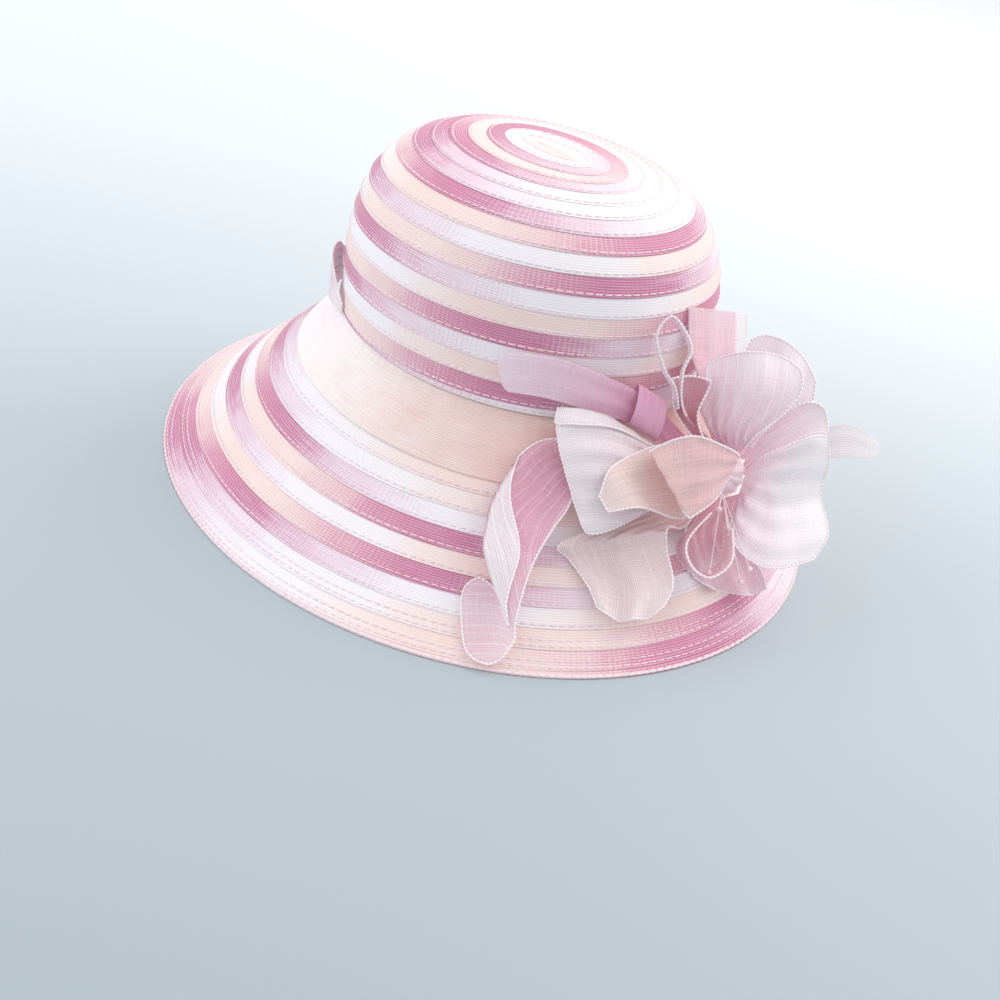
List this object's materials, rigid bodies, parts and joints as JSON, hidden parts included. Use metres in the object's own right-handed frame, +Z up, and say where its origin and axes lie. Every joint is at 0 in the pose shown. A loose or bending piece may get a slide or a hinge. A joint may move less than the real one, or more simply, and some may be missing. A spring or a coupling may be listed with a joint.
{
  "type": "sun hat",
  "caption": "Woman's sun hat of lapped dyed ribbon rows: domed oval crown, hatband, sloping brim and an organza flower with tails, open below for the head.",
  "frame": {"origin": "on the table, under the middle of the box around all the pieces", "axes": "+Z up along the crown, -Y towards the end of the crown that carries the flower, +X to the wearer's right when -Y is the front"},
  "size_m": [0.328, 0.3696, 0.1749],
  "materials": {
    "sewn_ribbon": "woven, slightly sheer",
    "peach_organza": "woven, slightly sheer",
    "pink_organza": "woven, slightly sheer",
    "pale_pink_organza": "woven, slightly sheer",
    "white_organza": "woven, slightly sheer"
  },
  "bodies": {
    "root": {"crown": "sewn_ribbon", "hatband": "peach_organza", "brim": "sewn_ribbon", "band_fold": "pink_organza", "flower_stem": "pale_pink_organza", "flower_core": "pale_pink_organza", "petal_left": "white_organza", "petal_centre": "peach_organza", "petal_lower_left": "peach_organza", "petal_lower": "pink_organza", "petal_under": "pink_organza", "petal_right": "white_organza", "petal_upper_right": "pale_pink_organza", "petal_back": "pale_pink_organza", "petal_small": "pink_organza", "loop_upright": "pale_pink_organza", "loop_small": "pink_organza", "ribbon_back": "pale_pink_organza", "tail_flat": "pink_organza", "ribbon_knot": "pink_organza", "tail_twisted": "pale_pink_organza", "tail_white": "white_organza"}
  },
  "joints": []
}
